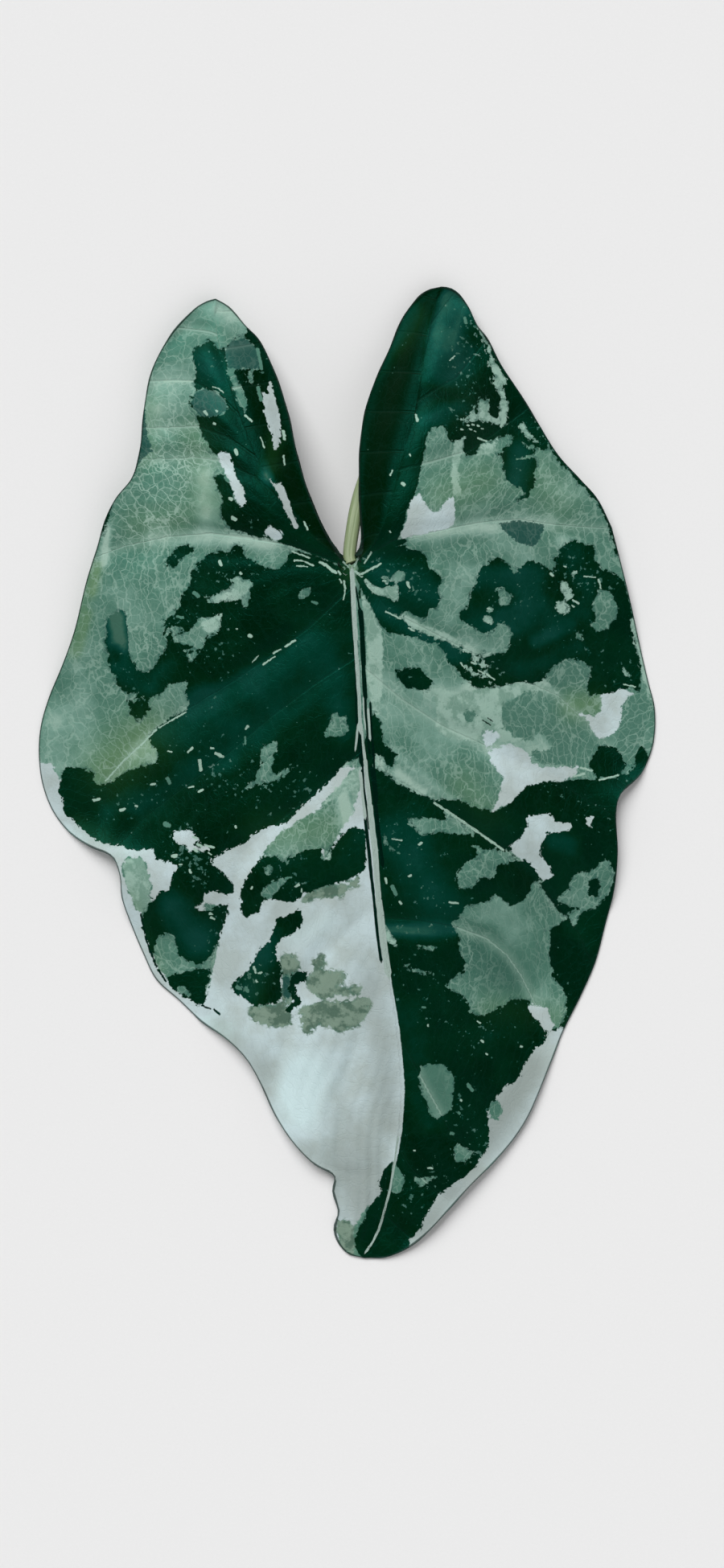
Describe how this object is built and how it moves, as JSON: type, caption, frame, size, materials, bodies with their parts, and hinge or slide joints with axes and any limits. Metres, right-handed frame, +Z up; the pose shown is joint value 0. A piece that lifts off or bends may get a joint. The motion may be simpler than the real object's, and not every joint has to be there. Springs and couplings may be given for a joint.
{
  "type": "variegated alocasia leaf",
  "caption": "Arrow-shaped variegated alocasia leaf with two long backward lobes and its stalk, picked and lying arched on a flat surface.",
  "frame": {"origin": "on the surface that the leaf lies on, below the middle of its outline", "axes": "+Z up from the surface, +Y from the leaf's tip towards its two lobes, +X to the right seen from above"},
  "size_m": [0.2935, 0.4619, 0.0399],
  "materials": {
    "blade_tissue": "satin living leaf skin: dark green, grey-mint and white patches, raised ribs below",
    "petiole_tissue": "smooth fleshy stalk, olive green with fine lengthwise lines"
  },
  "bodies": {
    "root": {"leaf_blade": "blade_tissue", "petiole": "petiole_tissue"}
  },
  "joints": []
}
